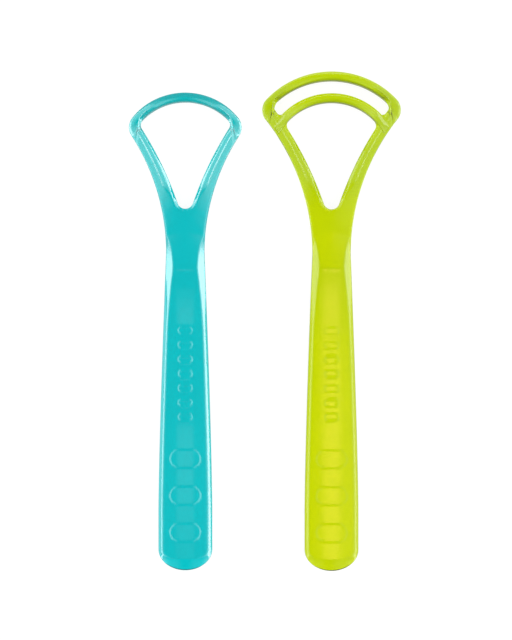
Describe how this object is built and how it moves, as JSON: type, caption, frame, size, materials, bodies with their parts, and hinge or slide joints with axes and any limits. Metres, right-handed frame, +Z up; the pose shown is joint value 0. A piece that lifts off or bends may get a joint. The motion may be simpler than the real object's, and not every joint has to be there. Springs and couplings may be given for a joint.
{
  "type": "tongue scraper set",
  "caption": "Pair of flat plastic tongue scrapers side by side: long handle, narrow waist, forked head with arched scraping blades, single on one and double on the other.",
  "frame": {"origin": "centre of the pair, on the surface that their flat backs lie on", "axes": "+Y along both handles towards the blades, +X from the single-blade scraper to the double-blade one, +Z up from the flat backs"},
  "size_m": [0.0814, 0.1492, 0.0048],
  "materials": {
    "cyan_plastic": "glossy translucent",
    "lime_plastic": "glossy translucent"
  },
  "bodies": {
    "root": {"single_blade_scraper": "cyan_plastic", "double_blade_scraper": "lime_plastic"}
  },
  "joints": []
}
